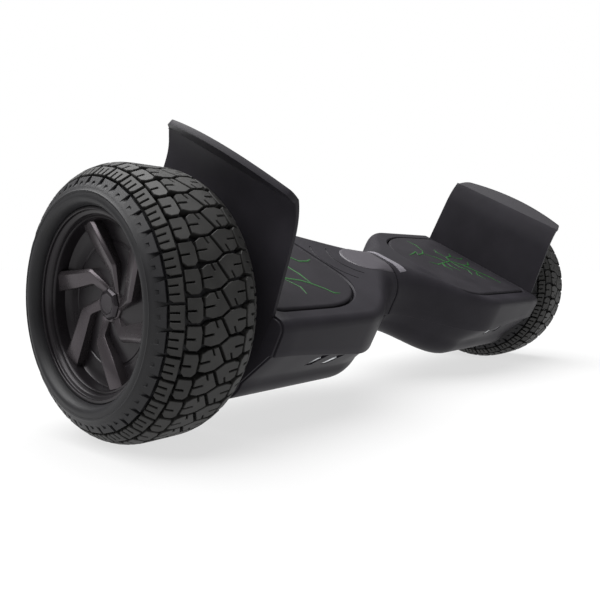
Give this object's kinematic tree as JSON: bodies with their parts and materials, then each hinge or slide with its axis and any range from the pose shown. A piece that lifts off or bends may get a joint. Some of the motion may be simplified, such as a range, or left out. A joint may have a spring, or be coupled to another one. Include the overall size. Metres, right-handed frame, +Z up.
{
  "type": "self balancing board",
  "caption": "Two-wheel self-balancing board: two foot decks joined by a twisting middle shaft, hub-motor wheels with block-tread tyres, raised fenders and pressing foot mats.",
  "frame": {"origin": "on the floor, midway between the two tyres, straight under the axle line, with the board standing switched off and leaning forward on its wheels", "axes": "+X along the axle line from the left half to the right half, as seen by someone who faces the board's front; +Y towards the back; +Z up. The left_ nodes are at -X and the right_ nodes at +X. The front (-Y) is the side with the two pairs of light slots, and the body is leaned towards it."},
  "size_m": [0.7266, 0.2355, 0.2643],
  "materials": {
    "cast_aluminium": "cast, matt",
    "shell_plastic": "satin black",
    "mat_rubber": "matt, moulded line pattern",
    "circuit_board": "solder mask",
    "screw_steel": "black oxide",
    "clear_lens": "clear over white lamps",
    "axle_steel": "ground",
    "motor_steel": "laminated",
    "copper_wire": "enamelled copper wire",
    "cable_rubber": "satin",
    "tyre_rubber": "matt",
    "rim_aluminium": "black satin paint",
    "magnet": "nickel plate",
    "bearing_steel": "polished",
    "cover_plastic": "gunmetal satin",
    "hub_plastic": "gunmetal satin",
    "bronze": "machined",
    "seal_rubber": "matt",
    "battery_wrap": "shrink-wrap film over the cells",
    "button_metal": "satin",
    "port_metal": "satin",
    "cap_rubber": "matt",
    "pearl_lens": "pearl",
    "trim_plastic": "satin silver"
  },
  "bodies": {
    "left_half": {"left_frame": "cast_aluminium", "left_top_shell": "shell_plastic", "left_bottom_shell": "shell_plastic", "left_fender": "shell_plastic", "left_sensor_board": "circuit_board", "left_axle_clamp": "cast_aluminium", "left_clamp_bolts": "screw_steel", "left_shell_screws": "screw_steel", "left_light_lenses": "clear_lens", "left_axle": "axle_steel", "left_stator": "motor_steel", "left_windings": "copper_wire", "left_motor_cable": "cable_rubber", "centre_shaft": "axle_steel", "shaft_circlip": "screw_steel", "limit_pin": "screw_steel", "bridge_cable": "cable_rubber", "battery_pack": "battery_wrap", "battery_cover": "shell_plastic", "battery_cover_screws": "screw_steel", "charge_port": "port_metal", "status_lens": "pearl_lens"},
    "right_half": {"right_frame": "cast_aluminium", "right_top_shell": "shell_plastic", "right_bottom_shell": "shell_plastic", "right_fender": "shell_plastic", "right_sensor_board": "circuit_board", "right_axle_clamp": "cast_aluminium", "right_clamp_bolts": "screw_steel", "right_shell_screws": "screw_steel", "right_light_lenses": "clear_lens", "right_axle": "axle_steel", "right_stator": "motor_steel", "right_windings": "copper_wire", "right_motor_cable": "cable_rubber", "centre_bush": "bronze", "centre_seal": "seal_rubber", "main_board": "circuit_board", "centre_trim": "trim_plastic"},
    "left_wheel": {"left_tyre": "tyre_rubber", "left_rim": "rim_aluminium", "left_magnets": "magnet", "left_side_cover": "rim_aluminium", "left_side_cover_screws": "screw_steel", "left_wheel_bearings": "bearing_steel", "left_wheel_cover": "cover_plastic", "left_hub_cap": "hub_plastic"},
    "right_wheel": {"right_tyre": "tyre_rubber", "right_rim": "rim_aluminium", "right_magnets": "magnet", "right_side_cover": "rim_aluminium", "right_side_cover_screws": "screw_steel", "right_wheel_bearings": "bearing_steel", "right_wheel_cover": "cover_plastic", "right_hub_cap": "hub_plastic"},
    "left_pad": {"left_foot_mat": "mat_rubber"},
    "right_pad": {"right_foot_mat": "mat_rubber"},
    "button": {"power_button": "button_metal"},
    "cap": {"charge_cap": "cap_rubber"}
  },
  "joints": [
    {"name": "centre_twist", "type": "hinge", "parent": "left_half", "child": "right_half", "pos_m": [0, 0, 0.108], "axis": [1, 0, 0], "range_deg": [-10, 10], "stiffness_Nm_per_rad": 15},
    {"name": "left_wheel_spin", "type": "hinge", "parent": "left_half", "child": "left_wheel", "pos_m": [-0.316, 0, 0.108], "axis": [1, 0, 0], "continuous": true},
    {"name": "right_wheel_spin", "type": "hinge", "parent": "right_half", "child": "right_wheel", "pos_m": [0.316, 0, 0.108], "axis": [1, 0, 0], "continuous": true},
    {"name": "left_pad_press", "type": "slide", "parent": "left_half", "child": "left_pad", "axis": [0, 0.454, -0.891], "range_m": [0, 0.0015], "stiffness_N_per_m": 20000},
    {"name": "right_pad_press", "type": "slide", "parent": "right_half", "child": "right_pad", "axis": [0, 0.454, -0.891], "range_m": [0, 0.0015], "stiffness_N_per_m": 20000},
    {"name": "power_button_press", "type": "slide", "parent": "right_half", "child": "button", "axis": [0, -0.891, -0.454], "range_m": [0, 0.0015], "stiffness_N_per_m": 800},
    {"name": "charge_cap_swing", "type": "hinge", "parent": "left_half", "child": "cap", "pos_m": [-0.15, 0.0815, 0.18263], "axis": [1, 0, 0], "range_deg": [0, 110]}
  ]
}
